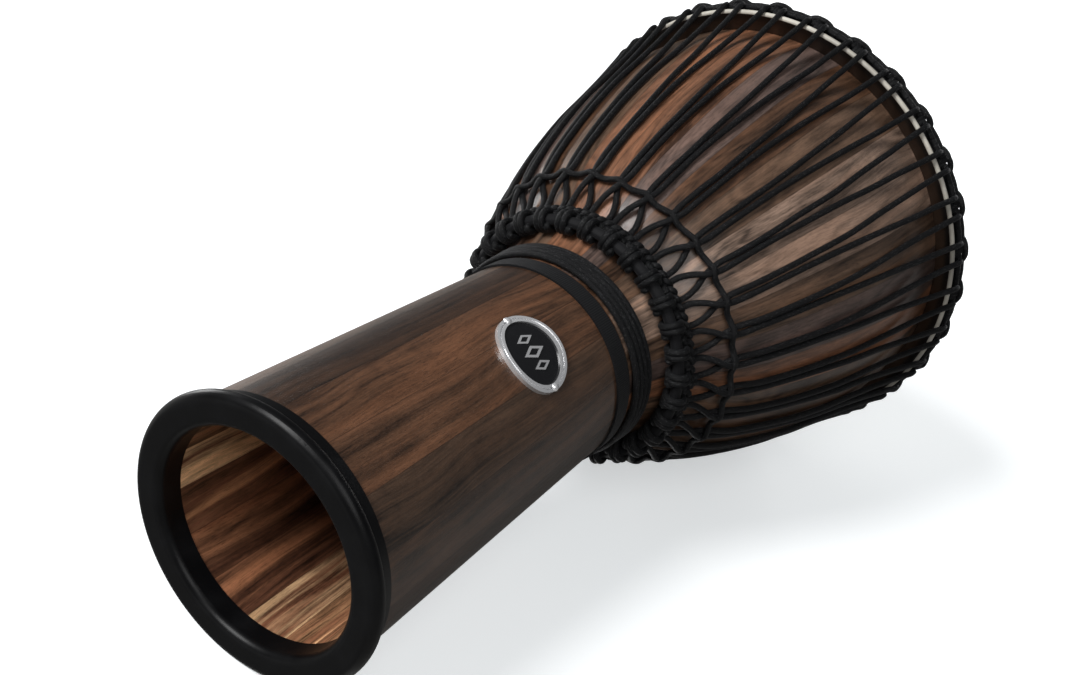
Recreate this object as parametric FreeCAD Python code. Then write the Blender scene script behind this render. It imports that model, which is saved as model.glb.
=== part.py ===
import FreeCAD, Part
import math
import os

from FreeCAD import Vector

# Rope-tuned goblet drum (djembe), standing upright on its rubber foot.
# Millimetres, +Z up along the drum's axis, origin at the centre of the foot's bottom face.
# The badge faces -Y.

# ---- driving dimensions -------------------------------------------------------------------
drum_height = 610.0          # foot to playing surface, a 24 in drum
bowl_stave_count = 30
stem_stave_count = 15
bowl_seam_phase = -86.2      # degrees
stem_seam_phase = -53.9      # degrees

stem_bottom_z = 5.0          # wood stands on the floor of the foot's channel
stem_top_z = 283.0           # glue line between stem and bowl, under the waist band
stem_bottom_r = 86.6
stem_top_r = 69.8
bore_bottom_r = 73.2
bore_top_r = 57.0

rope_r = 2.4                 # 4.8 mm braided rope
contact_gap = 0.05           # between touching ropes and rings

loop_count = 30              # loops round each ring
loop_pitch = 360.0 / loop_count
crown_phase = -0.75          # azimuth of the first crown hitch, degrees
lower_shift = 7.2            # the weave and lower hitches sit this far round from the crown hitches

crown_ring_r = 159.8
crown_ring_z = 577.5
lower_ring_r = 85.2
lower_ring_z = 317.5
ring_bar_r = 3.4             # steel bar of both tuning rings
ring_cover_r = 4.0           # over its cloth tape

flesh_ring_r = 163.8
flesh_ring_z = 567.2
flesh_bar_r = 1.0
skin_thick = 0.9
skin_gap = 0.1
rim_r = 149.6                # outside of the bowl where the head comes down over it

waist_band_z = (266.0, 280.3)
waist_band_thick = 1.5
waist_turn_count = 5

weave_r = 108.4              # horizontal rope of the diamond row
weave_z = 350.4

badge_z = 200.0
badge_half_width = 27.0      # round the stem
badge_half_height = 25.5     # along the stem
badge_frame_thick = 2.8
badge_inlay_thick = 1.3
nail_spacing = 51.0

# Outer outline of the bowl, (r, z), from the glue line up to the straight rim.
bowl_outside = [
    (stem_top_r, stem_top_z), (69.6, 300.0), (78.4, 325.0), (94.5, 345.0), (110.6, 370.0),
    (122.4, 400.0), (141.4, 465.0), (151.4, 526.0), (151.2, 546.0), (rim_r, 566.0),
]
# Inner outline of the bowl, from the rim down to the glue line.
bowl_inside = [
    (137.1, 570.0), (138.0, 545.0), (131.5, 480.0), (113.0, 414.0), (94.0, 370.0),
    (66.0, 325.0), (57.6, 300.0), (bore_top_r, stem_top_z),
]
# Route of one tension leg, (r, z, distance from the middle of its pair).
leg_route = [
    (169.2, 569.4, 9.4), (164.4, 552.0, 9.0), (156.4, 529.0, 8.0), (151.6, 500.0, 6.2),
    (145.0, 465.0, 4.0), (136.6, 430.0, 2.9), (126.4, 400.0, 2.65), (116.9, 375.0, 2.65),
    (107.0, 357.0, 2.65), (95.5, 340.5, 7.2),
]
leg_bend = 40.0              # bend radius of a leg at the points of its route

axis = Vector(0, 0, 1)
origin = Vector(0, 0, 0)


# ---- helpers ------------------------------------------------------------------------------
def save(node, solids):
    """Write one sub-part, a solid or a group of solids, and check that each one is closed."""
    solids = solids if isinstance(solids, list) else [solids]
    for solid in solids:
        if not solid.isValid() or not solid.isClosed() or solid.Volume <= 0:
            raise RuntimeError(node + " is not a closed valid solid")
    shape = solids[0] if len(solids) == 1 else Part.makeCompound(solids)
    shape.exportStep("parts/" + node + ".step")
    print(node, len(solids), round(shape.Volume / 1000.0, 2), "cm3")


def turned(shape, degrees):
    """A copy of the shape turned about the drum's axis."""
    copy = shape.copy()
    copy.rotate(origin, axis, degrees)
    return copy


def polar(r, degrees, z):
    a = math.radians(degrees)
    return Vector(r * math.cos(a), r * math.sin(a), z)


def flat(r, z):
    """A point of a section in the XZ plane."""
    return Vector(r, 0, z)


def line(a, b):
    return Part.LineSegment(flat(*a), flat(*b)).toShape()


def arc(a, middle, b):
    return Part.Arc(flat(*a), flat(*middle), flat(*b)).toShape()


def curve(points):
    spline = Part.BSplineCurve()
    spline.interpolate([flat(r, z) for r, z in points])
    return spline.toShape()


def on_circle(centre, radius, degrees):
    a = math.radians(degrees)
    return (centre[0] + radius * math.cos(a), centre[1] + radius * math.sin(a))


def section_face(edges):
    return Part.Face(Part.Wire(Part.__sortEdges__(edges)))


def sector(face, start, sweep):
    """Revolve a section through part of a turn, starting at the given azimuth."""
    return turned(face.revolve(origin, axis, sweep), start)


def hoop(ring_r, z, bar_r):
    """A full ring of round bar about the drum's axis."""
    return Part.makeTorus(ring_r, bar_r, Vector(0, 0, z), axis)


def wrap(ring_r, ring_z, around_r, azimuth, shift):
    """One turn of rope round a ring's bar, shifted sideways along the ring."""
    a = azimuth + math.degrees(shift / ring_r)
    tangent = Vector(-math.sin(math.radians(a)), math.cos(math.radians(a)), 0)
    return Part.makeTorus(around_r + rope_r + contact_gap, rope_r, polar(ring_r, a, ring_z), tangent)


def tube(points, radius, bend):
    """A round tube along straight runs joined by tangent arcs."""
    edges = []
    start = points[0]
    for before, corner, after in zip(points, points[1:], points[2:]):
        back = (before - corner).normalize()
        ahead = (after - corner).normalize()
        half = back.getAngle(ahead) / 2
        reach = bend / math.tan(half)
        centre = corner + (back + ahead).normalize() * (bend / math.sin(half))
        enter = corner + back * reach
        leave = corner + ahead * reach
        middle = centre + (corner - centre).normalize() * bend
        edges.append(Part.LineSegment(start, enter).toShape())
        edges.append(Part.Arc(enter, middle, leave).toShape())
        start = leave
    edges.append(Part.LineSegment(start, points[-1]).toShape())
    path = Part.Wire(edges)
    circle = Part.Circle(points[0], points[1] - points[0], radius).toShape()
    solid = path.makePipeShell([Part.Wire([circle])], True, False)
    expected = math.pi * radius * radius * path.Length
    if abs(solid.Volume - expected) > 0.01 * expected:
        raise RuntimeError("tube volume differs from section times length")
    return solid


# ---- shell --------------------------------------------------------------------------------
def stem_section():
    corners = [
        (stem_bottom_r, stem_bottom_z), (stem_top_r, stem_top_z),
        (bore_top_r, stem_top_z), (bore_bottom_r, stem_bottom_z),
    ]
    return section_face([line(a, b) for a, b in zip(corners, corners[1:] + corners[:1])])


def bowl_section():
    """The bowl's wall, with a rounded bearing edge that the head is stretched over."""
    shoulder_z = drum_height - 9.0
    crest = (rim_r - 6.1, drum_height - skin_thick - skin_gap)
    inner_edge = (rim_r - 12.5, shoulder_z)
    return section_face([
        curve(bowl_outside),
        line(bowl_outside[-1], (rim_r, shoulder_z)),
        arc((rim_r, shoulder_z), (rim_r - 1.8, drum_height - 3.2), crest),
        arc(crest, (rim_r - 10.7, drum_height - 3.4), inner_edge),
        line(inner_edge, bowl_inside[0]),
        curve(bowl_inside),
        line(bowl_inside[-1], bowl_outside[0]),
    ])


def stem_radius(z):
    share = (z - stem_bottom_z) / (stem_top_z - stem_bottom_z)
    return stem_bottom_r + share * (stem_top_r - stem_bottom_r)


def make_shell(nails):
    pitch = 360.0 / stem_stave_count
    section = stem_section()
    staves = [sector(section, stem_seam_phase + i * pitch, pitch) for i in range(stem_stave_count)]
    for nail in nails:
        staves = [s.cut(nail) if s.common(nail).Volume > 0 else s for s in staves]
    save("stem_staves", [s.Solids[0] for s in staves])
    pitch = 360.0 / bowl_stave_count
    section = bowl_section()
    for i in range(bowl_stave_count):
        save("bowl_stave_%02d" % (i + 1), sector(section, bowl_seam_phase + i * pitch, pitch))


# ---- rubber foot --------------------------------------------------------------------------
def make_foot():
    """A channel ring pressed on the stem: flat sole, rounded flange, sleeve and inner lip."""
    sleeve_top = 19.6
    lip_top = 17.2
    sleeve_r = stem_radius(sleeve_top)
    section = section_face([
        line((77.8, 0.0), (86.6, 0.0)),
        arc((86.6, 0.0), (90.05, 0.91), (92.6, 3.4)),
        arc((92.6, 3.4), (93.3, 6.0), (92.4, 8.8)),
        line((92.4, 8.8), (90.4, 10.4)),
        line((90.4, 10.4), (88.4, 11.0)),
        line((88.4, 11.0), (87.3, sleeve_top)),
        line((87.3, sleeve_top), (sleeve_r, sleeve_top)),
        line((sleeve_r, sleeve_top), (stem_bottom_r, stem_bottom_z)),
        line((stem_bottom_r, stem_bottom_z), (bore_bottom_r, stem_bottom_z)),
        line((bore_bottom_r, stem_bottom_z), (bore_radius(lip_top), lip_top)),
        line((bore_radius(lip_top), lip_top), (71.4, lip_top)),
        line((71.4, lip_top), (71.9, 5.2)),
        arc((71.9, 5.2), (73.87, 1.49), (77.8, 0.0)),
    ])
    save("rubber_foot", sector(section, 0, 360))


def bore_radius(z):
    share = (z - stem_bottom_z) / (stem_top_z - stem_bottom_z)
    return bore_bottom_r + share * (bore_top_r - bore_bottom_r)


# ---- waist --------------------------------------------------------------------------------
def make_waist():
    low, high = waist_band_z
    section = section_face([
        line((stem_radius(low), low), (stem_radius(low) + waist_band_thick, low)),
        line((stem_radius(low) + waist_band_thick, low), (stem_radius(high) + waist_band_thick, high)),
        line((stem_radius(high) + waist_band_thick, high), (stem_radius(high), high)),
        line((stem_radius(high), high), (stem_radius(low), low)),
    ])
    save("waist_band", sector(section, 0, 360))
    turn_r = 72.7
    first_z = high + rope_r + 0.4
    pitch = 2 * rope_r + 0.1
    save("waist_rope", [hoop(turn_r, first_z + i * pitch, rope_r) for i in range(waist_turn_count)])
    lash_r = turn_r + 2 * rope_r + contact_gap
    lash = [polar(lash_r, 90, first_z - 1.5), polar(lash_r, 90, first_z + 11), polar(lash_r, 92, first_z + 21.5)]
    save("waist_lashing", tube(lash, rope_r, 30.0))


# ---- rings, hitches and weave -------------------------------------------------------------
def ring_cover(ring_r, z):
    outer = hoop(ring_r, z, ring_cover_r)
    return outer.cut(hoop(ring_r, z, ring_bar_r)).Solids[0]


def double_hitches(ring_r, ring_z, phase):
    """Two turns of rope side by side round the covered ring, at every loop."""
    shift = rope_r + contact_gap + 0.1 + 2.4 * (rope_r + ring_cover_r) / ring_r
    turns = []
    for i in range(loop_count):
        for side in (-1, 1):
            turns.append(wrap(ring_r, ring_z, ring_cover_r, phase + i * loop_pitch, side * shift))
    return turns


def crown_runs():
    """Two rope runs, one above the other, along the outside of the crown ring between hitches."""
    out = 5.9
    up = 2.5
    start = 2.0
    runs = []
    for height in (-up, up):
        circle = Part.Circle(flat(crown_ring_r + out, crown_ring_z + height), Vector(0, 1, 0), rope_r)
        face = Part.Face(Part.Wire([circle.toShape()]))
        for i in range(loop_count):
            azimuth = crown_phase + i * loop_pitch + start
            runs.append(sector(face, azimuth, loop_pitch - 2 * start))
    return runs


def make_crown():
    save("crown_ring", hoop(crown_ring_r, crown_ring_z, ring_bar_r))
    save("crown_ring_tape", ring_cover(crown_ring_r, crown_ring_z))
    save("crown_hitches", double_hitches(crown_ring_r, crown_ring_z, crown_phase))
    save("crown_rope_runs", crown_runs())
    save("flesh_ring", hoop(flesh_ring_r, flesh_ring_z, flesh_bar_r))


def make_lower_ring():
    save("lower_ring", hoop(lower_ring_r, lower_ring_z, ring_bar_r))
    save("lower_ring_tape", ring_cover(lower_ring_r, lower_ring_z))
    save("lower_hitches", double_hitches(lower_ring_r, lower_ring_z, crown_phase + lower_shift))
    plait = [(89.4, 329.2), (93.4, 333.4)]
    save("lower_plait", [hoop(r, z, rope_r) for r, z in plait])


def make_tension_rope():
    """Sixty legs: neighbours from two loops run together down the bowl, then part again."""
    legs = []
    for side in (-1, 1):
        points = []
        for r, z, spread in leg_route:
            points.append(polar(r, side * math.degrees(spread / r), z))
        leg = tube(points, rope_r, leg_bend)
        for i in range(loop_count):
            legs.append(turned(leg, crown_phase + (i + 0.5) * loop_pitch))
    save("tension_legs", legs)
    save("weave_rope", hoop(weave_r, weave_z, rope_r))


# ---- head ---------------------------------------------------------------------------------
def make_skin():
    """The head: flat on top, over the bearing edge, down the rim and round the flesh ring."""
    face_z = drum_height - skin_thick
    flat_r = rim_r - 6.9
    inside_r = rim_r + skin_gap
    outside_r = inside_r + skin_thick
    shoulder_z = drum_height - 9.2
    turn_out = 570.6             # where the hide leaves the rim for the flesh ring
    turn_in = 569.2
    flesh = (flesh_ring_r, flesh_ring_z)
    near = flesh_bar_r + skin_gap
    far = near + skin_thick
    tuck_end = 400.0             # the edge of the hide is tucked up past the outside of the ring
    section = section_face([
        line((0, face_z), (flat_r, face_z)),
        arc((flat_r, face_z), (rim_r - 1.6, drum_height - 3.1), (inside_r, shoulder_z)),
        line((inside_r, shoulder_z), (inside_r, turn_in)),
        line((inside_r, turn_in), on_circle(flesh, far, 180)),
        arc(on_circle(flesh, far, 180), on_circle(flesh, far, 290), on_circle(flesh, far, tuck_end)),
        line(on_circle(flesh, far, tuck_end), on_circle(flesh, near, tuck_end)),
        arc(on_circle(flesh, near, tuck_end), on_circle(flesh, near, 290), on_circle(flesh, near, 180)),
        line(on_circle(flesh, near, 180), (outside_r, turn_out)),
        line((outside_r, turn_out), (outside_r, shoulder_z)),
        arc((outside_r, shoulder_z), (rim_r - 0.8, drum_height - 2.4), (flat_r, drum_height)),
        line((flat_r, drum_height), (0, drum_height)),
        line((0, drum_height), (0, face_z)),
    ])
    save("skin", sector(section, 0, 360))


# ---- badge --------------------------------------------------------------------------------
def oval_prism(half_width, half_height):
    """An oval column through the stem's wall towards -Y, centred on the badge."""
    wide = half_width >= half_height
    major, minor = (half_width, half_height) if wide else (half_height, half_width)
    direction = Vector(1, 0, 0) if wide else Vector(0, 0, 1)
    centre = Vector(0, -60, badge_z)
    across = Vector(0, 0, 1) if wide else Vector(1, 0, 0)
    ellipse = Part.Ellipse(centre + direction * major, centre + across * minor, centre)
    face = Part.Face(Part.Wire([ellipse.toShape()]))
    return face.extrude(Vector(0, -40, 0))


def stem_layer(low, high):
    """The space between two heights above the stem's tapered surface, near the badge."""
    bottom = badge_z - 40
    top = badge_z + 40
    outer = Part.makeCone(stem_radius(bottom) + high, stem_radius(top) + high, 80, Vector(0, 0, bottom))
    inner = Part.makeCone(stem_radius(bottom) + low, stem_radius(top) + low, 80, Vector(0, 0, bottom))
    return outer.cut(inner)


def make_nail(azimuth):
    """A round-head nail that points at the drum's axis."""
    surface = stem_radius(badge_z) + badge_frame_thick
    shank_r = 0.8
    head_r = 2.7
    head_height = 1.7
    ball_r = (head_r * head_r + head_height * head_height) / (2 * head_height)
    ball_x = surface + head_height - ball_r
    rim_half = math.degrees(math.asin(head_r / ball_r)) / 2
    middle = (ball_x + ball_r * math.cos(math.radians(rim_half)), ball_r * math.sin(math.radians(rim_half)))
    tip = surface - badge_frame_thick - 8.0
    shoulder = tip + 2.0
    outline = [(surface, head_r), (surface, shank_r), (shoulder, shank_r), (tip, 0)]
    edges = [Part.LineSegment(Vector(x1, y1, 0), Vector(x2, y2, 0)).toShape()
             for (x1, y1), (x2, y2) in zip(outline, outline[1:])]
    crown = Vector(surface + head_height, 0, 0)
    edges.append(Part.LineSegment(Vector(tip, 0, 0), crown).toShape())
    dome = Part.Arc(crown, Vector(middle[0], middle[1], 0), Vector(surface, head_r, 0))
    edges.append(dome.toShape())
    nail = section_face(edges).revolve(origin, Vector(1, 0, 0), 360)
    nail.translate(Vector(0, 0, badge_z))
    return turned(nail, azimuth)


def make_badge(nails):
    """An oval frame with two raised rims, a dark inlay and a plain lozenge emblem."""
    body = oval_prism(badge_half_width, badge_half_height)
    window = oval_prism(badge_half_width - 4.6, badge_half_height - 4.6)
    groove = oval_prism(badge_half_width - 1.7, badge_half_height - 1.7)
    inner_rim = oval_prism(badge_half_width - 2.9, badge_half_height - 2.9)
    frame = body.cut(window).common(stem_layer(0.0, badge_frame_thick))
    frame = frame.cut(groove.cut(inner_rim).common(stem_layer(badge_frame_thick - 0.9, badge_frame_thick + 1)))
    for nail in nails:
        frame = frame.cut(nail)
    save("badge_frame", frame.Solids[0])
    inlay = oval_prism(badge_half_width - 4.7, badge_half_height - 4.7)
    save("badge_inlay", inlay.common(stem_layer(0.0, badge_inlay_thick)).Solids[0])
    save("badge_emblem", make_emblem())


def lozenge(half_width, half_height, x):
    corners = [(x - half_width, 0), (x, half_height), (x + half_width, 0), (x, -half_height)]
    points = [Vector(cx, -60, badge_z + cz) for cx, cz in corners + corners[:1]]
    return Part.Face(Part.makePolygon(points)).extrude(Vector(0, -40, 0))


def make_emblem():
    """Three open lozenges in a row, like the drum's own rope weave."""
    layer = stem_layer(badge_inlay_thick, badge_inlay_thick + 0.6)
    solids = []
    for x, size in ((-9.6, 0.78), (0, 1.0), (9.6, 0.78)):
        ring = lozenge(4.3 * size, 10.0 * size, x).cut(lozenge(2.5 * size, 5.8 * size, x))
        solids.append(ring.common(layer).Solids[0])
    return solids


def main():
    os.makedirs("parts", exist_ok=True)
    nail_angle = math.degrees(nail_spacing / 2 / (stem_radius(badge_z) + badge_frame_thick))
    nails = [make_nail(-90 - nail_angle), make_nail(-90 + nail_angle)]
    make_shell(nails)
    make_foot()
    make_waist()
    make_crown()
    make_lower_ring()
    make_tension_rope()
    make_skin()
    make_badge(nails)
    save("badge_nails", nails)


main()
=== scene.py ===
import bpy
import math
import random

import numpy as np
from mathutils import Matrix, Vector


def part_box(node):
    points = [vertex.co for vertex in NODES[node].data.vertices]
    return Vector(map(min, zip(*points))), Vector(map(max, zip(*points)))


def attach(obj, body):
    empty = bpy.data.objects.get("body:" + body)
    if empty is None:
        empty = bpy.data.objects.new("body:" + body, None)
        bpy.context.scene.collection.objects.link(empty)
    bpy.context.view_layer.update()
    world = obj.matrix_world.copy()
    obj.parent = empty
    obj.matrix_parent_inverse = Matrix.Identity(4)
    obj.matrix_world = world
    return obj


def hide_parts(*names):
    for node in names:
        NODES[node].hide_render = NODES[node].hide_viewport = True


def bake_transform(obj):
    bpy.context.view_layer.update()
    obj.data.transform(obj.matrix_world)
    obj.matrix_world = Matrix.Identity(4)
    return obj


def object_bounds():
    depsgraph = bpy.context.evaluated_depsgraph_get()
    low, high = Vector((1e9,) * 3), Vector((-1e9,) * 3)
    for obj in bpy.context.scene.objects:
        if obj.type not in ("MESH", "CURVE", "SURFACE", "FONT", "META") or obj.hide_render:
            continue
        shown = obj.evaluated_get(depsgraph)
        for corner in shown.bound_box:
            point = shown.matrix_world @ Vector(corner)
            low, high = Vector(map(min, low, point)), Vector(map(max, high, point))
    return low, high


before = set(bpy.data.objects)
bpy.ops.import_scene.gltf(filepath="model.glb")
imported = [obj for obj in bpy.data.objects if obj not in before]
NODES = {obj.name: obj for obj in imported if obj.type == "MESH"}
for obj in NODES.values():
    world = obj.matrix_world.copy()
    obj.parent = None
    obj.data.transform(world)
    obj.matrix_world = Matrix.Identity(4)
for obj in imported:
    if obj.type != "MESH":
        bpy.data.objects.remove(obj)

# ---- sizes and places, from the frame (metres) --------------------------------------------
CAD_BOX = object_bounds()
SHELL, CROWN = "drum_body", "crown"

LOOPS = 30                    # rope loops round each ring
PITCH = 360.0 / LOOPS
CROWN_PHASE = -0.75           # azimuth of the first crown hitch, degrees
LOWER_PHASE = CROWN_PHASE + 7.2
ROPE_R = 0.0024               # the rope's room round the rings
VISUAL_ROPE_R = 0.00225       # a little less, so that braid and knots don't merge
COVER_R = 0.004               # taped ring bar
BOWL_STAVES, BOWL_PHASE = 30, -86.2       # phases are azimuths of the first seam, degrees
STEM_STAVES, STEM_PHASE = 15, -53.9
BOWL_STAVE_WIDTH = 0.027
STEM_STAVE_WIDTH = 0.033


def ring_of(node):
    """Centre radius and height of a ring node."""
    low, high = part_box(node)
    bar = (high.z - low.z) / 2
    return (high.x - low.x) / 2 - bar, (high.z + low.z) / 2


CROWN_R, CROWN_Z = ring_of("crown_ring")
LOWER_R, LOWER_Z = ring_of("lower_ring")
FLESH_R, FLESH_Z = ring_of("flesh_ring")
HEAD_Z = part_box("skin")[1].z
STEM_LOW, STEM_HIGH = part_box("stem_staves")
NECK_TOP_Z = 0.572            # below this the hide turns out from the rim to the flesh ring
NECK_R = FLESH_R - 0.0010     # and up to this radius its colour is painted dark, as shade in the gap under the crown ring
BORE_LOW_R, BORE_TOP_R = 0.0732, 0.057


# ---- shape helpers ------------------------------------------------------------------------
def polar(r, degrees, z):
    """The point at a radius, azimuth and height."""
    a = math.radians(degrees)
    return Vector((r * math.cos(a), r * math.sin(a), z))


# height and outer radius of the shell from the waist up to the rim
BOWL_POINTS = [
    (0.283, 0.0698), (0.300, 0.0696), (0.325, 0.0784), (0.345, 0.0945), (0.370, 0.1106),
    (0.400, 0.1224), (0.465, 0.1414), (0.526, 0.1514), (0.546, 0.1512), (0.566, 0.1496),
]


def spline(points, step, closed=False):
    """Points every step along a smooth curve through the given points (centripetal)."""
    points = [Vector(p) for p in points]
    if closed:
        points = [points[-1]] + points + points[:2]
    else:
        points = [2 * points[0] - points[1]] + points + [2 * points[-1] - points[-2]]
    out = []
    for a, b, c, d in zip(points, points[1:], points[2:], points[3:]):
        t1 = (b - a).length ** 0.5 + 1e-9
        t2 = t1 + (c - b).length ** 0.5 + 1e-9
        t3 = t2 + (d - c).length ** 0.5 + 1e-9
        count = max(2, round((c - b).length / step))
        for i in range(count):
            t = t1 + (t2 - t1) * i / count
            ab = a.lerp(b, t / t1)
            bc = b.lerp(c, (t - t1) / (t2 - t1))
            cd = c.lerp(d, (t - t2) / (t3 - t2))
            abc = ab.lerp(bc, t / t2)
            bcd = bc.lerp(cd, (t - t1) / (t3 - t1))
            out.append(abc.lerp(bcd, (t - t1) / (t2 - t1)))
    if not closed:
        out.append(points[-2])
    return out


BOWL_CURVE = spline([(r, 0, z) for z, r in BOWL_POINTS], 0.002)
CURVE_Z = np.array([p.z for p in BOWL_CURVE])
CURVE_R = np.array([p.x for p in BOWL_CURVE])


def wood_r(z):
    """Outer radius of the shell's bowl and waist at a height."""
    return float(np.interp(z, CURVE_Z, CURVE_R))


def wood_normal(z):
    """Outward normal of the bowl in its section, as (radial, vertical)."""
    slope = (wood_r(z + 0.002) - wood_r(z - 0.002)) / 0.004
    length = math.hypot(1, slope)
    return 1 / length, -slope / length


def on_wood(z, height, degrees):
    """A point at a height above the wood's surface, measured along its normal."""
    n_r, n_z = wood_normal(z)
    return polar(wood_r(z) + height * n_r, degrees, z + height * n_z)


def new_object(name, mesh, body):
    o = bpy.data.objects.new(name, mesh)
    bpy.context.scene.collection.objects.link(o)
    for p in mesh.polygons:
        p.use_smooth = True
    if body:
        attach(o, body)
    return o


def rope_mesh(name, paths, radius=VISUAL_ROPE_R, sides=12, closed=False):
    """Round tubes along the given paths, with UVs in rope lengths: U round, V along in metres."""
    vertices, faces, uvs = [], [], []
    for number, path in enumerate(paths):
        count = len(path)
        first = len(vertices)
        tangents = []
        for i in range(count):
            before = path[i - 1] if closed or i else path[0]
            after = path[(i + 1) % count] if closed or i < count - 1 else path[-1]
            tangents.append((after - before).normalized())
        side = tangents[0].orthogonal().normalized()
        frames = [side]
        for a, b in zip(tangents, tangents[1:]):
            turn = a.rotation_difference(b)
            side = turn @ side
            side = (side - b * side.dot(b)).normalized()
            frames.append(side)
        if closed:
            last = tangents[-1].rotation_difference(tangents[0]) @ frames[-1]
            angle = math.atan2(last.cross(frames[0]).dot(tangents[0]), last.dot(frames[0]))
        else:
            angle = 0
        length = 0.0
        lengths = []
        for i in range(count):
            spin = Matrix.Rotation(angle * i / count, 3, tangents[i])
            across = spin @ frames[i]
            up = tangents[i].cross(across)
            for k in range(sides):
                a = 2 * math.pi * k / sides
                vertices.append(path[i] + (across * math.cos(a) + up * math.sin(a)) * radius)
            lengths.append(length)
            length += (path[(i + 1) % count] - path[i]).length
        lengths.append(length)
        shift = number * 0.37
        rows = count if closed else count - 1
        for i in range(rows):
            j = (i + 1) % count
            for k in range(sides):
                m = (k + 1) % sides
                a, b = first + i * sides, first + j * sides
                faces.append((a + k, a + m, b + m, b + k))
                u0, u1 = k / sides, (k + 1) / sides
                v0, v1 = lengths[i] + shift, lengths[i + 1] + shift
                uvs.extend([(u0, v0), (u1, v0), (u1, v1), (u0, v1)])
        if not closed:
            for end, row in ((0, -1), (count - 1, 1)):
                ring = [first + end * sides + k for k in range(sides)]
                ring = ring if row > 0 else ring[::-1]
                faces.append(tuple(ring))
                uvs.extend([(0.5, lengths[end] + shift)] * sides)
    mesh = bpy.data.meshes.new(name)
    mesh.from_pydata([tuple(v) for v in vertices], [], faces)
    layer = mesh.uv_layers.new(name="rope")
    layer.data.foreach_set("uv", np.array(uvs, np.float32).ravel())
    mesh.validate()
    mesh.update()
    return mesh


def make_rope(name, paths, material, body, replaced, radius=VISUAL_ROPE_R, closed=False):
    """One rope piece that rides on a body and stands for the given CAD nodes."""
    mesh = rope_mesh(name, paths, radius=radius, closed=closed)
    mesh.materials.append(material)
    o = new_object(name, mesh, body)
    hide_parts(*replaced)
    return o


def lathe(name, outline, segments):
    """Revolve an outline of (r, z) points; a radius of zero becomes one shared point."""
    vertices, faces = [], []
    rings = []
    for r, z in outline:
        if r < 1e-6:
            rings.append([len(vertices)] * segments)
            vertices.append((0, 0, z))
        else:
            rings.append(list(range(len(vertices), len(vertices) + segments)))
            for i in range(segments):
                vertices.append(tuple(polar(r, 360 * i / segments, z)))
    for low, high in zip(rings, rings[1:]):
        for i in range(segments):
            j = (i + 1) % segments
            face = []
            for v in (low[i], low[j], high[j], high[i]):
                if v not in face:
                    face.append(v)
            if len(face) > 2:
                faces.append(tuple(face))
    mesh = bpy.data.meshes.new(name)
    mesh.from_pydata(vertices, [], faces)
    mesh.update()
    return mesh


# ---- material helpers ---------------------------------------------------------------------
class Graph:
    """A short way to write shader nodes."""

    def __init__(self, name):
        self.material = bpy.data.materials.new(name)
        self.material.use_nodes = True
        self.tree = self.material.node_tree
        self.shader = self.tree.nodes["Principled BSDF"]

    def put(self, socket, value):
        if isinstance(value, bpy.types.NodeSocket):
            self.tree.links.new(value, socket)
        elif isinstance(value, (tuple, list)) and len(value) == 3 and socket.type == "RGBA":
            socket.default_value = (*value, 1)
        else:
            socket.default_value = value

    def node(self, kind, **sockets):
        made = self.tree.nodes.new("ShaderNode" + kind)
        for name, value in sockets.items():
            self.put(made.inputs[name.replace("_", " ")], value)
        return made

    def math(self, operation, a, b=0.0, c=0.0, clamp=False):
        made = self.tree.nodes.new("ShaderNodeMath")
        made.operation = operation
        made.use_clamp = clamp
        for socket, value in zip(made.inputs, (a, b, c)):
            self.put(socket, value)
        return made.outputs[0]

    def vector(self, x, y, z):
        return self.node("CombineXYZ", X=x, Y=y, Z=z).outputs[0]

    def noise(self, vector, scale=1.0, detail=3.0, roughness=0.5, distortion=0.0):
        made = self.node("TexNoise", Vector=vector, Scale=scale, Detail=detail,
                         Roughness=roughness, Distortion=distortion)
        return made.outputs["Fac"]

    def random(self, *values):
        """A random number from 0 to 1 for each whole-number cell."""
        made = self.tree.nodes.new("ShaderNodeTexWhiteNoise")
        made.noise_dimensions = "3D"
        x, y, z = (list(values) + [0.0, 0.0])[:3]
        self.put(made.inputs["Vector"], self.vector(x, y, z))
        return made.outputs["Value"]

    def mix(self, factor, a, b, blend="MIX"):
        made = self.tree.nodes.new("ShaderNodeMix")
        made.data_type = "RGBA"
        made.blend_type = blend
        self.put(made.inputs[0], factor)
        self.put(made.inputs[6], a)
        self.put(made.inputs[7], b)
        return made.outputs[2]

    def span(self, value, low, high, out_low=0.0, out_high=1.0):
        made = self.tree.nodes.new("ShaderNodeMapRange")
        made.interpolation_type = "SMOOTHSTEP"
        for socket, number in zip(made.inputs, (value, low, high, out_low, out_high)):
            self.put(socket, number)
        return made.outputs[0]

    def ramp(self, value, stops, steps=False):
        made = self.tree.nodes.new("ShaderNodeValToRGB")
        self.put(made.inputs[0], value)
        ramp = made.color_ramp
        ramp.interpolation = "CONSTANT" if steps else "LINEAR"
        while len(ramp.elements) < len(stops):
            ramp.elements.new(0.5)
        for element, (place, colour) in zip(ramp.elements, stops):
            element.position = place
            element.color = (*colour, 1)
        return made.outputs[0]

    def bump(self, height, distance, strength=1.0):
        made = self.node("Bump", Height=height, Distance=distance, Strength=strength)
        self.put(self.shader.inputs["Normal"], made.outputs[0])

    def set(self, **values):
        for name, value in values.items():
            self.put(self.shader.inputs[name.replace("_", " ")], value)

    def position(self):
        """Height, radius and azimuth in turns of the shaded point, in the drum's frame."""
        place = self.tree.nodes.new("ShaderNodeTexCoord").outputs["Object"]
        split = self.node("SeparateXYZ", Vector=place)
        x, y, z = split.outputs
        square = self.math("ADD", self.math("MULTIPLY", x, x), self.math("MULTIPLY", y, y))
        radius = self.math("SQRT", square)
        turns = self.math("DIVIDE", self.math("ARCTAN2", y, x), 2 * math.pi)
        return z, radius, turns


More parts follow.
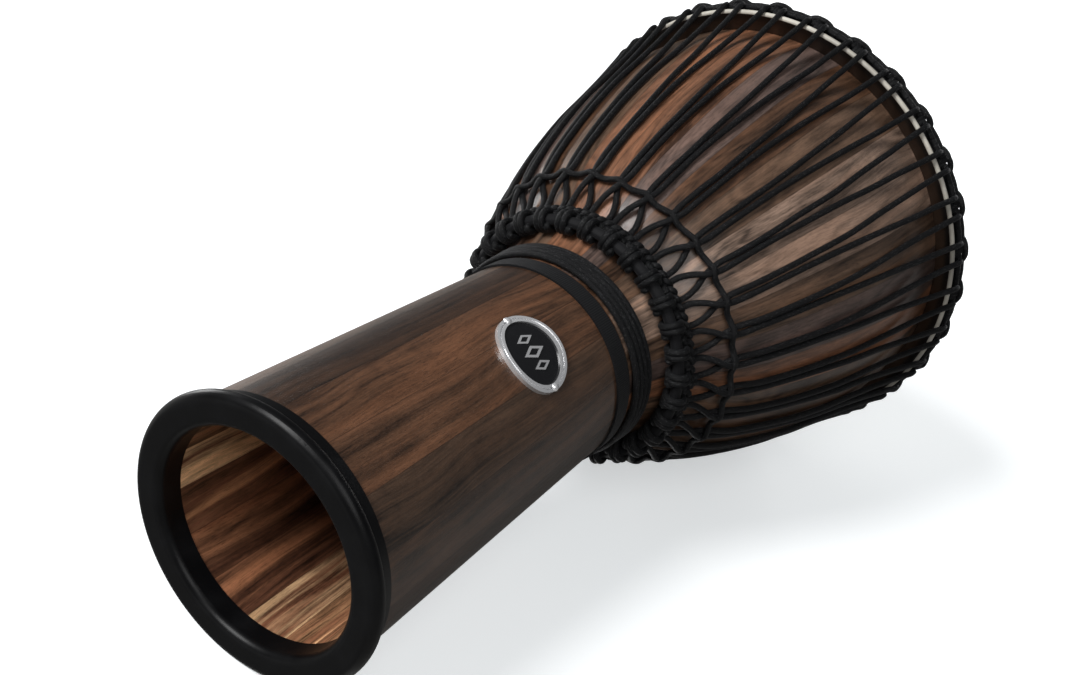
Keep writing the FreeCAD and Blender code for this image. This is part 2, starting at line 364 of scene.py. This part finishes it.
# ---- materials ----------------------------------------------------------------------------
TONES = {
    "walnut": (0.054, 0.028, 0.016), "umber": (0.076, 0.046, 0.030), "red": (0.125, 0.058, 0.032),
    "grey": (0.160, 0.108, 0.080), "plum": (0.066, 0.045, 0.038),
}
# the stain of each bowl stave, in order of azimuth from the first seam
BOWL_TONES = """
    grey grey umber plum red umber walnut umber grey red plum walnut umber grey walnut
    red umber plum grey umber walnut red plum walnut umber red red plum walnut umber
""".split()


def wood_material(name, staves, phase, stave_width, inside, light, tones=()):
    """Stained hardwood staves: one tone and one grain per stave, paler varnish inside."""
    g = Graph(name)
    z, radius, turns = g.position()
    place = g.math("MULTIPLY", g.math("SUBTRACT", turns, phase / 360.0), staves)
    index = g.math("FLOOR", place)
    index = g.math("FLOORED_MODULO", index, staves)
    across = g.math("MULTIPLY", g.math("FRACT", place), stave_width)
    tone = g.random(index, 3.0)
    other = g.random(index, 7.0)
    along = g.math("ADD", z, g.math("MULTIPLY", tone, 9.0))
    sway = g.noise(g.vector(g.math("MULTIPLY", along, 7.0), other, 0.0), detail=1.0)
    side = g.math("ADD", across, g.math("MULTIPLY", other, 5.0))
    side = g.math("MULTIPLY_ADD", sway, 0.022, side)

    def grain(across_scale, along_scale, **settings):
        return g.noise(g.vector(g.math("MULTIPLY", side, across_scale), g.math("MULTIPLY", radius, 20.0),
                                g.math("MULTIPLY", along, along_scale)), **settings)

    bands = grain(85.0, 3.4, detail=4.0, distortion=0.7)
    figure = g.math("SINE", g.math("MULTIPLY", grain(36.0, 2.6, detail=2.0, distortion=0.5), 60.0))
    fibres = grain(900.0, 30.0, detail=3.0, roughness=0.6)
    strokes = g.span(grain(3400.0, 210.0, detail=1.5), 0.57, 0.70)
    ripple = grain(70.0, 42.0, detail=3.0, roughness=0.55, distortion=0.8)
    cloud = grain(16.0, 6.0, detail=2.0)
    fine = grain(1500.0, 260.0, detail=2.0, roughness=0.6)

    value = g.math("MULTIPLY_ADD", g.math("SUBTRACT", bands, 0.5), 2.8, 1.0)
    value = g.math("MULTIPLY_ADD", figure, 0.20, value)
    value = g.math("MULTIPLY_ADD", g.math("SUBTRACT", fibres, 0.5), 1.5, value)
    value = g.math("MULTIPLY_ADD", g.math("SUBTRACT", ripple, 0.5), 0.9, value)
    value = g.math("MULTIPLY_ADD", g.math("SUBTRACT", fine, 0.5), 0.8, value)
    value = g.math("MULTIPLY_ADD", g.math("SUBTRACT", cloud, 0.5), 1.1, value)
    # the gain scales the whole copy's brightness; for the bowl it is partly painted light, brighter than
    # the stem's wood to stand in for fill on its shaded side
    value = g.math("MULTIPLY", g.math("MAXIMUM", value, 0.22), light)
    if not tones:
        value = g.math("MULTIPLY", value, g.math("MULTIPLY_ADD", g.random(index, 11.0), 0.75, 0.66))
    dark_side = g.ramp(tone, [
        (0.00, (0.034, 0.0175, 0.0100)), (0.22, (0.056, 0.0295, 0.0170)), (0.42, (0.088, 0.0405, 0.0205)),
        (0.60, (0.066, 0.0400, 0.0255)), (0.78, (0.118, 0.0660, 0.0375)), (0.92, (0.074, 0.0490, 0.0400)),
        (1.00, (0.150, 0.0930, 0.0580)),
    ])
    if tones:
        step = g.math("DIVIDE", g.math("ADD", index, 0.5), staves)
        dark_side = g.ramp(step, [(i / staves, TONES[tone]) for i, tone in enumerate(tones)], steps=True)
    pale_side = g.ramp(g.math("MULTIPLY_ADD", g.math("SUBTRACT", bands, 0.5), 1.1, other), [
        (0.00, (0.075, 0.030, 0.016)), (0.25, (0.17, 0.075, 0.038)), (0.45, (0.105, 0.042, 0.023)),
        (0.65, (0.34, 0.175, 0.088)), (0.85, (0.24, 0.095, 0.050)), (1.00, (0.52, 0.33, 0.18)),
    ])
    colour = g.mix(inside(g, z, radius), dark_side, pale_side)
    colour = g.mix(1.0, colour, g.vector(value, value, value), "MULTIPLY")
    red = g.span(bands, 0.45, 0.65, 0.0, 0.5)
    colour = g.mix(red, colour, g.mix(1.0, colour, (1.10, 0.96, 0.86), "MULTIPLY"))
    pores = g.math("MULTIPLY", strokes, g.span(cloud, 0.35, 0.62, 0.20, 0.55))
    colour = g.mix(pores, colour, (0.006, 0.0035, 0.0025))
    edge = g.math("MINIMUM", across, g.math("SUBTRACT", stave_width, across))
    seam = g.span(edge, 0.00010, 0.00045, 1.0, 0.0)
    colour = g.mix(g.math("MULTIPLY", seam, 0.42), colour, (0.008, 0.0045, 0.003))
    rough = g.math("MULTIPLY_ADD", fibres, 0.22, 0.26)
    g.set(Base_Color=colour, Roughness=rough, Specular_IOR_Level=0.40,
          Coat_Weight=0.16, Coat_Roughness=0.25)
    height = g.math("SUBTRACT", g.math("MULTIPLY", fibres, 0.35), g.math("MULTIPLY", strokes, 0.45))
    height = g.math("SUBTRACT", height, g.math("MULTIPLY", seam, 0.5))
    g.bump(height, 0.00012, 0.8)
    return g.material


def inside_stem(g, z, radius):
    """1 on the wall of the stem's bore, which tapers evenly."""
    slope = (BORE_TOP_R - BORE_LOW_R) / (STEM_HIGH.z - STEM_LOW.z)
    wall = g.math("ADD", g.math("MULTIPLY", g.math("SUBTRACT", z, STEM_LOW.z), slope), BORE_LOW_R + 0.002)
    return g.math("LESS_THAN", radius, wall)


def inside_bowl(g, z, radius):
    """1 on the bowl's inner wall, 6 mm and more inside the outer curve."""
    low, span, widest = 0.28, 0.34, 0.2        # the curve node takes 0 to 1 on both axes
    made = g.tree.nodes.new("ShaderNodeFloatCurve")
    curve = made.mapping.curves[0]
    for z_here, r_here in BOWL_POINTS[1:-1]:
        curve.points.new((z_here - low) / span, (r_here - 0.006) / widest)
    curve.points[0].location = (0, 0.0638 / widest)
    curve.points[-1].location = (1, 0.1436 / widest)
    made.mapping.update()
    g.put(made.inputs["Value"], g.math("DIVIDE", g.math("SUBTRACT", z, low), span))
    return g.math("LESS_THAN", radius, g.math("MULTIPLY", made.outputs[0], widest))


def rope_material():
    """Black braided polyester: a fine diamond braid, its grooves painted darker as shade, with a few pale
    flecks on its crests that are partly pale fibres and partly painted glints.
    """
    g = Graph("rope_braid")
    uv = g.node("SeparateXYZ", Vector=g.tree.nodes.new("ShaderNodeTexCoord").outputs["UV"])
    u, v = uv.outputs[0], uv.outputs[1]
    strands, lay = 12.0, 600.0
    one = g.math("MULTIPLY_ADD", u, strands, g.math("MULTIPLY", v, lay))
    two = g.math("MULTIPLY_ADD", u, strands, g.math("MULTIPLY", v, -lay))
    wave_one = g.math("ABSOLUTE", g.math("SINE", g.math("MULTIPLY", one, math.pi)))
    wave_two = g.math("ABSOLUTE", g.math("SINE", g.math("MULTIPLY", two, math.pi)))
    braid = g.math("MULTIPLY", wave_one, wave_two)
    cell = g.random(g.math("FLOOR", one), g.math("FLOOR", two), 2.0)
    fibre = g.noise(g.vector(g.math("MULTIPLY", u, 60.0), g.math("MULTIPLY", v, 900.0), 0.0), detail=2.0)
    # painted shade: the braid's grooves are coloured darker than its crests
    dark = g.mix(g.span(braid, 0.15, 0.8), (0.0014, 0.0014, 0.0016), (0.0058, 0.0060, 0.0070))
    # pale flecks on the braid's crests: partly pale fibres, partly painted glints
    fleck_and_glint = g.math("MULTIPLY", g.span(cell, 0.84, 0.92), g.span(braid, 0.35, 0.75))
    fleck_and_glint = g.math("MULTIPLY", fleck_and_glint, g.math("MULTIPLY_ADD", fibre, 0.5, 0.35))
    colour = g.mix(fleck_and_glint, dark, (0.062, 0.062, 0.064))
    g.set(Base_Color=colour, Roughness=0.58, Specular_IOR_Level=0.18,
          Sheen_Weight=0.03, Sheen_Roughness=0.35, Sheen_Tint=(0.8, 0.85, 0.9))
    g.bump(g.math("ADD", braid, g.math("MULTIPLY", fibre, 0.3)), 0.00020, 1.0)
    return g.material


def cloth_material(name, colour, ribs, rib_height):
    """Black cloth tape or webbing, with ribs across its length."""
    g = Graph(name)
    z, _, turns = g.position()
    rib = g.math("SINE", g.math("MULTIPLY", turns, 2 * math.pi * ribs))
    weave = g.math("SINE", g.math("MULTIPLY", z, 2 * math.pi / 0.0011))
    height = g.math("ADD", g.math("MULTIPLY", rib, 0.5 * rib_height), g.math("MULTIPLY", weave, 0.22))
    dust = g.noise(g.vector(g.math("MULTIPLY", turns, 300.0), z, 0.0), scale=3.0)
    light = tuple(c * 2.6 for c in colour)
    # paler on the raised ribs, a painted highlight, and in patches of dust
    rib_highlight_and_dust = g.span(g.math("MULTIPLY_ADD", height, 0.4, g.math("MULTIPLY", dust, 0.6)), 0.1, 0.9)
    g.set(Base_Color=g.mix(rib_highlight_and_dust, colour, light), Roughness=0.7, Specular_IOR_Level=0.18,
          Sheen_Weight=0.03, Sheen_Roughness=0.5)
    g.bump(height, 0.00022, 0.9)
    return g.material


def rubber_material():
    """Black rubber, duller on the sole, where it is worn by the floor."""
    g = Graph("foot_rubber")
    place = g.tree.nodes.new("ShaderNodeTexCoord").outputs["Object"]
    grain = g.noise(place, scale=900.0, detail=3.0)
    marks = g.noise(place, scale=38.0, detail=4.0, roughness=0.6)
    height = g.node("SeparateXYZ", Vector=place).outputs[2]
    worn = g.span(height, 0.0001, 0.0012, 0.42, 0.0)
    colour = g.mix(g.span(marks, 0.4, 0.75), (0.0024, 0.0024, 0.0027), (0.0046, 0.0047, 0.0052))
    rough = g.math("ADD", g.math("MULTIPLY_ADD", marks, 0.16, 0.26), worn)
    g.set(Base_Color=colour, Roughness=rough, Specular_IOR_Level=0.15)
    g.bump(g.math("ADD", g.math("MULTIPLY", grain, 0.25), g.math("MULTIPLY", marks, 0.5)), 0.0002, 0.5)
    return g.material


def skin_material():
    """Pale goat skin; below the rim it is greyer in mottled patches, and up to the flesh ring its colour
    is painted dark as shade in the gap under the crown ring.
    """
    g = Graph("drum_skin")
    place = g.tree.nodes.new("ShaderNodeTexCoord").outputs["Object"]
    mottle = g.noise(place, scale=14.0, detail=5.0, roughness=0.6)
    fine = g.noise(place, scale=420.0, detail=3.0)
    colour = g.ramp(mottle, [
        (0.25, (0.56, 0.50, 0.40)), (0.5, (0.70, 0.66, 0.57)), (0.8, (0.80, 0.77, 0.70)),
    ])
    colour = g.mix(g.span(fine, 0.55, 0.75, 0.0, 0.25), colour, (0.45, 0.37, 0.27))
    z, radius, _ = g.position()
    below = g.math("LESS_THAN", z, NECK_TOP_Z)
    # painted shade: below the rim and inside the flesh ring the hide is painted dark, darkest outwards,
    # where the crown ring shades the gap
    painted_neck_shade = g.math("MULTIPLY", below, g.span(radius, NECK_R, NECK_R + 0.0006, 1.0, 0.0))
    outward = g.span(radius, NECK_R - 0.0068, NECK_R - 0.0030)
    neck_shade_colour = g.mix(outward, (0.052, 0.029, 0.017), (0.009, 0.007, 0.006))
    neck_shade_colour = g.mix(g.span(mottle, 0.4, 0.7, 0.0, 0.6), neck_shade_colour, (0.016, 0.010, 0.007))
    # below the rim the hide is also greyer, in mottled patches
    greyed_below = g.math("MULTIPLY", below, g.span(mottle, 0.35, 0.6, 0.75, 0.35))
    colour = g.mix(greyed_below, colour, (0.22, 0.21, 0.19))
    colour = g.mix(painted_neck_shade, colour, neck_shade_colour)
    g.set(Base_Color=colour, Roughness=0.55,
          Subsurface_Weight=0.08, Subsurface_Radius=(0.004, 0.003, 0.002))
    g.bump(g.math("ADD", fine, mottle), 0.0002, 0.6)
    return g.material


def metal_material(name, colour, roughness, metallic=1.0, marks_scale=160.0):
    """Metal with faint handling marks."""
    g = Graph(name)
    place = g.tree.nodes.new("ShaderNodeTexCoord").outputs["Object"]
    marks = g.noise(place, scale=marks_scale, detail=4.0)
    g.set(Base_Color=g.mix(marks, colour, tuple(c * 0.85 for c in colour)), Metallic=metallic,
          Roughness=g.math("MULTIPLY_ADD", marks, 0.12, roughness))
    g.bump(marks, 0.00006, 0.5)
    return g.material


def enamel_material():
    """Glossy black enamel of the badge's inlay."""
    g = Graph("badge_enamel")
    place = g.tree.nodes.new("ShaderNodeTexCoord").outputs["Object"]
    marks = g.noise(place, scale=300.0, detail=3.0)
    g.set(Base_Color=g.mix(marks, (0.004, 0.004, 0.005), (0.008, 0.008, 0.009)),
          Roughness=g.math("MULTIPLY_ADD", marks, 0.1, 0.12))
    g.bump(marks, 0.00003, 0.4)
    return g.material


def dress(node, material):
    """Give a CAD node one material all over."""
    o = NODES[node]
    o.data.materials.clear()
    o.data.materials.append(material)
    for p in o.data.polygons:
        p.material_index = 0


def dress_cad_nodes():
    """Materials for every CAD node that shows."""
    # the last numbers are brightness gains: the bowl's 1.32 against the stem's 0.76 is partly painted
    # light
    stem = wood_material("stem_wood", STEM_STAVES, STEM_PHASE, STEM_STAVE_WIDTH, inside_stem, 0.76)
    bowl = wood_material("bowl_wood", BOWL_STAVES, BOWL_PHASE, BOWL_STAVE_WIDTH, inside_bowl, 1.32,
                         BOWL_TONES)
    chrome = metal_material("badge_chrome", (0.90, 0.90, 0.91), 0.17, metallic=0.66, marks_scale=60.0)
    silver = metal_material("badge_silver", (0.66, 0.66, 0.67), 0.34, metallic=0.6)
    tape = cloth_material("ring_tape", (0.0045, 0.0045, 0.0052), 420, 0.15)
    steel = metal_material("ring_steel", (0.05, 0.05, 0.052), 0.4)
    dress("stem_staves", stem)
    for name in NODES:
        if name.startswith("bowl_stave"):
            dress(name, bowl)
    dress("rubber_foot", rubber_material())
    dress("waist_band", cloth_material("waist_webbing", (0.0042, 0.0044, 0.0050), 300, 0.8))
    dress("badge_frame", chrome)
    dress("badge_nails", chrome)
    dress("badge_emblem", silver)
    dress("badge_inlay", enamel_material())
    for name in ("crown_ring_tape", "lower_ring_tape"):
        dress(name, tape)
    for name in ("crown_ring", "lower_ring", "flesh_ring"):
        dress(name, steel)


# ---- rope work ----------------------------------------------------------------------------
LEG_ROUTE = [
    # height, distance from the middle of the pair, height above the wood
    (0.5735, 0.0094, 0.0185), (0.5690, 0.0094, 0.0185), (0.5600, 0.0092, 0.0158),
    (0.5450, 0.0087, 0.0105), (0.5290, 0.0080, 0.0060), (0.5000, 0.0062, 0.0030),
    (0.4650, 0.0042, 0.0026), (0.4300, 0.0030, 0.0026), (0.4000, 0.0025, 0.0026),
    (0.3760, 0.0024, 0.0026), (0.3600, 0.0023, 0.0026), (0.3520, 0.0000, 0.0026),
    (0.3450, -0.0042, 0.0027), (0.3385, -0.0066, 0.0030), (0.3330, -0.0064, 0.0048),
]
LEG_R = 0.00215
CROSSING_Z = 0.352            # where the two legs of a pair cross
CROSSING_LIFT = 0.0042        # how far the upper leg rises over the lower one
CROSSING_REACH = 0.0085
WANDER = 0.0004               # unevenness of a leg's free stretch


def leg_path(middle, side, wander):
    """One leg from the crown ring to the lower ring; the one on side 1 crosses over its twin."""
    points = []
    for z, spread, height in LEG_ROUTE:
        near = math.exp(-(((z - CROSSING_Z) / CROSSING_REACH) ** 2))
        lift = CROSSING_LIFT * near if side > 0 else 0.0
        shift = side * spread + wander.uniform(-1, 1) * WANDER * (0.36 < z < 0.53)
        points.append(on_wood(z, height + lift, middle + math.degrees(shift / wood_r(z))))
    return spline(points, 0.0025)


def make_tension_legs(material):
    """The legs in pieces of three pairs, which stretch between shell and crown."""
    wander = random.Random(5)
    group = 3
    for first in range(0, LOOPS, group):
        paths = []
        for i in range(first, first + group):
            middle = CROWN_PHASE + (i + 0.5) * PITCH
            paths += [leg_path(middle, side, wander) for side in (-1, 1)]
        o = make_rope("tension_rope_%02d" % (first // group + 1), paths, material, None,
                      ["tension_legs"], radius=LEG_R)
        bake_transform(o)


HITCH_R = COVER_R + ROPE_R + 0.0001      # distance of a hitch's rope from the ring bar's middle
HITCHES_PER_PIECE = 6


def ring_point(ring_r, ring_z, around, angle, degrees):
    """A point round a ring's bar: angle 0 is outward and 90 is up."""
    a = math.radians(angle)
    return polar(ring_r + around * math.cos(a), degrees, ring_z + around * math.sin(a))


def crown_turns(knot, degree):
    """The hitch rope: a run along the ring with two turns round it at the knot."""
    start, steps, width = -24, 20, 5.084
    end = start + 720
    points = [(start, -PITCH / 2), (start, -PITCH / 4), (start, -5.6 * degree)]
    for k in range(steps + 1):
        points.append((start + 720 * k / steps, width * (k / steps - 0.5) * degree))
    points += [(end, 5.6 * degree), (end, PITCH / 4), (end, PITCH / 2)]
    return spline([ring_point(CROWN_R, CROWN_Z, HITCH_R, a, knot + d) for a, d in points], 0.0012)


def crown_over(knot, degree):
    """The second strand: along the ring, and over the two turns at the knot."""
    points = [
        # angle round the bar, place along the ring, height above the hitch's rope
        (22, -PITCH / 2, 0), (22, -PITCH / 4, 0), (24, -7.4 * degree, 0.0008),
        (16, -3.4 * degree, 0.0024), (6, 0.0, 0.0029), (16, 3.4 * degree, 0.0024),
        (24, 7.4 * degree, 0.0008), (22, PITCH / 4, 0), (22, PITCH / 2, 0),
    ]
    return spline([ring_point(CROWN_R, CROWN_Z, HITCH_R + up, a, knot + d) for a, d, up in points],
                  0.0015)


def make_crown_rope(material):
    """The hitches of the crown ring, which ride on the crown."""
    degree = math.degrees(0.001 / CROWN_R)         # a millimetre along the ring
    for first in range(0, LOOPS, HITCHES_PER_PIECE):
        paths = []
        for i in range(first, first + HITCHES_PER_PIECE):
            knot = CROWN_PHASE + i * PITCH
            paths += [crown_turns(knot, degree), crown_over(knot, degree)]
        make_rope("crown_rope_%d" % (first // HITCHES_PER_PIECE + 1), paths, material, CROWN,
                  ["crown_hitches", "crown_rope_runs"])


def make_lower_rope(material):
    """Hitches round the lower ring: two and a half turns side by side, hung from the plait."""
    degree = math.degrees(0.001 / LOWER_R)
    steps, width = 28, 9.6
    for first in range(0, LOOPS, HITCHES_PER_PIECE):
        paths = []
        for i in range(first, first + HITCHES_PER_PIECE):
            knot = LOWER_PHASE + i * PITCH
            points = [on_wood(0.3310, 0.0040, knot - 4.5 * degree)]
            for k in range(steps + 1):
                along = width * (k / steps - 0.5) * degree
                points.append(ring_point(LOWER_R, LOWER_Z, HITCH_R, 60 + 900 * k / steps, knot + along))
            points.append(on_wood(0.3310, 0.0040, knot + 4.5 * degree))
            paths.append(spline(points, 0.0012))
        make_rope("lower_hitch_%d" % (first // HITCHES_PER_PIECE + 1), paths, material, SHELL,
                  ["lower_hitches"])


PLAIT_Z, PLAIT_WAVE = 0.3300, 0.002952       # middle of the plaited row, and its sway in height
PLAIT_HEIGHT, PLAIT_DEPTH = 0.0066, 0.0021   # the same above the wood
PLAIT_ROPE_R = 0.0022
WEAVE_ROPE_R = 0.0021
LASHING_ROPE_R = 0.0019


def make_plait(material):
    """Three strands plaited round the drum above the lower ring."""
    paths = []
    steps = 20
    for strand in range(3):
        points = []
        for k in range(LOOPS * steps):
            phase = 2 * math.pi * (k / steps + strand / 3.0)
            z = PLAIT_Z + PLAIT_WAVE * math.sin(phase)
            height = PLAIT_HEIGHT + PLAIT_DEPTH * math.sin(2 * phase)
            points.append(on_wood(z, height, LOWER_PHASE + k * PITCH / steps))
        paths.append(spline(points, 0.0016, closed=True))
    make_rope("lower_plait_rope", paths, material, SHELL, ["lower_plait"],
              radius=PLAIT_ROPE_R, closed=True)


WEAVE_ROUTE = [
    # place along the loop's pitch, height, height above the wood
    (-0.40, 0.3558, 0.0046), (-0.2, 0.3562, 0.0061), (-0.06, 0.3566, 0.0071),
    (0.06, 0.3558, 0.0071), (0.2, 0.3552, 0.0061), (0.40, 0.3552, 0.0046),
]


def make_weave(material):
    """The horizontal rope of the diamond row: over each pair, down to the wood between them."""
    points = []
    for i in range(LOOPS):
        middle = CROWN_PHASE + (i + 0.5) * PITCH
        points += [on_wood(z, height, middle + place * PITCH) for place, z, height in WEAVE_ROUTE]
    make_rope("weave_rope_row", [spline(points, 0.0015, closed=True)], material, SHELL, ["weave_rope"],
              radius=WEAVE_ROPE_R, closed=True)


def make_waist_rope(material):
    """Leftover rope wound round the waist, and the short lashing that holds its turns."""
    low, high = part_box("waist_rope")
    turn_r = (high.x - low.x) / 2 - ROPE_R
    first, last = low.z + ROPE_R, high.z - ROPE_R
    turns, steps = 4, 48
    points = []
    for k in range(turns * steps + 13):            # the last quarter turn stays level
        share = min(1.0, k / (turns * steps))
        points.append(polar(turn_r, 88 + 360 * k / steps, first + (last - first) * share))
    coil_rope_r = (last - first) / turns * 0.44    # thin enough to leave grooves between the turns
    make_rope("waist_rope_coil", [spline(points, 0.002)], material, SHELL, ["waist_rope"],
              radius=coil_rope_r)
    out = turn_r + 0.0042
    lash = [
        polar(turn_r, 90, first - 0.002), polar(out, 90, first + 0.001),
        polar(out, 90, first + 0.010), polar(out, 91, last - 0.001),
        polar(turn_r, 92, last + 0.002),
    ]
    make_rope("waist_lashing_rope", [spline(lash, 0.0015)], material, SHELL, ["waist_lashing"],
              radius=LASHING_ROPE_R)


# ---- head ---------------------------------------------------------------------------------
HIDE_THICK = 0.0009
HEAD_R = 0.1506                  # outside of the collar
SHOULDER = 0.008                 # rounding of the head's edge
TURN_Z = 0.5706                  # where the hide leaves the rim for the flesh ring
COLLAR_Z = 0.585


def arc(middle, radius, first, last, steps):
    """Points of an arc in the drum's section; angle 0 is outward and 90 is up."""
    angles = [math.radians(first + (last - first) * k / steps) for k in range(steps + 1)]
    return [(middle[0] + radius * math.cos(a), middle[1] + radius * math.sin(a)) for a in angles]


def make_skin(material):
    """Membrane, rounded shoulder, collar, and the tuck round the flesh ring."""
    low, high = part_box("flesh_ring")
    hook = (high.z - low.z) / 2 + 0.001
    edge = (HEAD_R - SHOULDER, HEAD_Z - SHOULDER)
    inside = HEAD_R - HIDE_THICK
    outline = [(0, HEAD_Z), (0.05, HEAD_Z), (0.1, HEAD_Z), (0.135, HEAD_Z)]
    outline += arc(edge, SHOULDER, 90, 0, 8)
    outline += [(HEAD_R, COLLAR_Z), (HEAD_R, TURN_Z + 0.001), (HEAD_R + 0.0005, TURN_Z - 0.0004)]
    outline += arc((FLESH_R, FLESH_Z), hook - HIDE_THICK, 180, 400, 14)
    outline += arc((FLESH_R, FLESH_Z), hook, 400, 180, 14)
    outline += [(inside + 0.0003, TURN_Z - 0.0016), (inside, TURN_Z - 0.001), (inside, COLLAR_Z)]
    outline += arc(edge, SHOULDER - HIDE_THICK, 0, 90, 8)
    outline += [(0.1, HEAD_Z - HIDE_THICK), (0, HEAD_Z - HIDE_THICK)]
    mesh = lathe("drum_head", outline, 240)
    mesh.materials.append(material)
    o = new_object("drum_head", mesh, None)
    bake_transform(o)
    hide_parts("skin")


# ---- camera, light and floor --------------------------------------------------------------
CAMERA_AT = Vector((0.06474, -0.89217, -0.64401))
CAMERA_LOOKS_AT = Vector((-0.01268, 0.00781, 0.300))
CAMERA_ROLL = math.radians(57.75)
CAMERA_LENS = 64.1
GROUND_AZIMUTH = 62.0            # the side that the drum lies on
FLOOR_HALF = 6.0
LIGHTS_AT = Vector((0, 0, 0.33))
SUN_ENERGY = 3.4
SUN_ANGLE = math.radians(28)


def make_camera():
    """The camera of the lying drum's picture, turned round the upright drum."""
    data = bpy.data.cameras.new("camera")
    data.lens = CAMERA_LENS
    data.sensor_width = 36
    camera = bpy.data.objects.new("camera", data)
    bpy.context.scene.collection.objects.link(camera)
    aim = (CAMERA_LOOKS_AT - CAMERA_AT).to_track_quat("-Z", "Y").to_matrix()
    turned = (aim @ Matrix.Rotation(CAMERA_ROLL, 3, "Z")).to_4x4()
    turned.translation = CAMERA_AT
    camera.matrix_world = turned
    bpy.context.scene.camera = camera
    return turned.to_3x3()


def floor_material():
    """Pale to the camera, darker to bounced light, clear from behind and to shadow rays."""
    g = Graph("floor_pale")
    g.set(Base_Color=(0.80, 0.81, 0.815), Roughness=1.0, Specular_IOR_Level=0.0,
          Emission_Color=(0.95, 0.985, 1.0), Emission_Strength=0.50)
    path = g.tree.nodes.new("ShaderNodeLightPath")
    seen = path.outputs["Is Camera Ray"]
    bounced = g.mix(path.outputs["Is Glossy Ray"], (0.05, 0.05, 0.05), (0.30, 0.295, 0.285))
    dark = g.node("BsdfDiffuse", Color=bounced).outputs[0]
    clear = g.tree.nodes.new("ShaderNodeBsdfTransparent").outputs[0]
    behind = g.tree.nodes.new("ShaderNodeNewGeometry").outputs["Backfacing"]
    ground = g.tree.nodes.new("ShaderNodeMixShader")
    g.put(ground.inputs[0], seen)
    g.put(ground.inputs[1], dark)
    g.put(ground.inputs[2], g.shader.outputs[0])
    mixed = g.tree.nodes.new("ShaderNodeMixShader")
    g.put(mixed.inputs[0], g.math("MAXIMUM", behind, path.outputs["Is Shadow Ray"]))
    g.put(mixed.inputs[1], ground.outputs[0])
    g.put(mixed.inputs[2], clear)
    g.put(g.tree.nodes["Material Output"].inputs["Surface"], mixed.outputs[0])
    return g.material


def make_floor():
    """The ground under the foot's edge and the crown of the lying drum."""
    low_box, high_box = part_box("rubber_foot")
    foot_r = (high_box.x - low_box.x) / 2
    crown_r = CAD_BOX[1].x + 0.002
    low = polar(foot_r, GROUND_AZIMUTH, 0.006)
    high = polar(crown_r, GROUND_AZIMUTH, CROWN_Z)
    along = (high - low).normalized() * FLOOR_HALF
    across = polar(FLOOR_HALF, GROUND_AZIMUTH + 90, 0)
    middle = low.lerp(high, 0.3 / (high - low).length)
    corners = [middle + along * a + across * b for a, b in ((-1, -1), (1, -1), (1, 1), (-1, 1))]
    mesh = bpy.data.meshes.new("floor")
    mesh.from_pydata([tuple(c) for c in corners], [], [(0, 1, 2, 3)])
    mesh.update()
    if mesh.polygons[0].normal.dot(CAMERA_AT - middle) < 0:
        mesh.flip_normals()
    mesh.materials.append(floor_material())
    floor = bpy.data.objects.new("floor", mesh)
    bpy.context.scene.collection.objects.link(floor)


def make_light(name, place, target, size, power):
    """A round area light aimed at a target."""
    data = bpy.data.lights.new(name, "AREA")
    data.shape = "DISK"
    data.size = size
    data.energy = power
    light = bpy.data.objects.new(name, data)
    light.location = place
    light.rotation_mode = "QUATERNION"
    light.rotation_quaternion = (target - place).to_track_quat("-Z", "Y")
    bpy.context.scene.collection.objects.link(light)


def make_key(direction):
    """A soft sun."""
    data = bpy.data.lights.new("key", "SUN")
    data.energy = SUN_ENERGY
    data.angle = SUN_ANGLE
    key = bpy.data.objects.new("key", data)
    key.rotation_mode = "QUATERNION"
    key.rotation_quaternion = direction.to_track_quat("-Z", "Y")
    bpy.context.scene.collection.objects.link(key)


def make_world():
    """White behind the picture, and a weak cool surround for everything else."""
    world = bpy.data.worlds.new("studio")
    world.use_nodes = True
    bpy.context.scene.world = world
    tree = world.node_tree
    surround = tree.nodes["Background"]
    surround.inputs[0].default_value = (0.93, 0.96, 1.0, 1)
    surround.inputs[1].default_value = 0.13
    white = tree.nodes.new("ShaderNodeBackground")
    white.inputs[0].default_value = (1, 1, 1, 1)
    white.inputs[1].default_value = 1.0
    path = tree.nodes.new("ShaderNodeLightPath")
    mixed = tree.nodes.new("ShaderNodeMixShader")
    tree.links.new(path.outputs["Is Camera Ray"], mixed.inputs[0])
    tree.links.new(surround.outputs[0], mixed.inputs[1])
    tree.links.new(white.outputs[0], mixed.inputs[2])
    tree.links.new(mixed.outputs[0], tree.nodes["World Output"].inputs[0])


def make_lights(view):
    """A key from the picture's upper left, a weak fill, and lights for the top and the far sides."""
    right, top, back = view.col[0], view.col[1], view.col[2]
    make_key(right * 0.55 - top * 0.72 - back * 0.86)
    make_light("fill", LIGHTS_AT + right * 0.5 + top * 0.2 + back * 1.9, LIGHTS_AT, 1.2, 13)
    make_light("top", Vector((0, 0, 2.0)), Vector((0, 0, 0.6)), 1.0, 11)
    make_light("back", polar(1.9, 150, 0.7), LIGHTS_AT, 1.0, 19)
    make_light("side", polar(1.9, 75, 0.4), LIGHTS_AT, 1.0, 17)
    make_world()


def main():
    rope = rope_material()
    dress_cad_nodes()
    make_tension_legs(rope)
    make_crown_rope(rope)
    make_lower_rope(rope)
    make_plait(rope)
    make_weave(rope)
    make_waist_rope(rope)
    make_skin(skin_material())
    view = make_camera()
    make_floor()
    make_lights(view)
    bpy.context.scene.view_settings.view_transform = "Standard"


main()
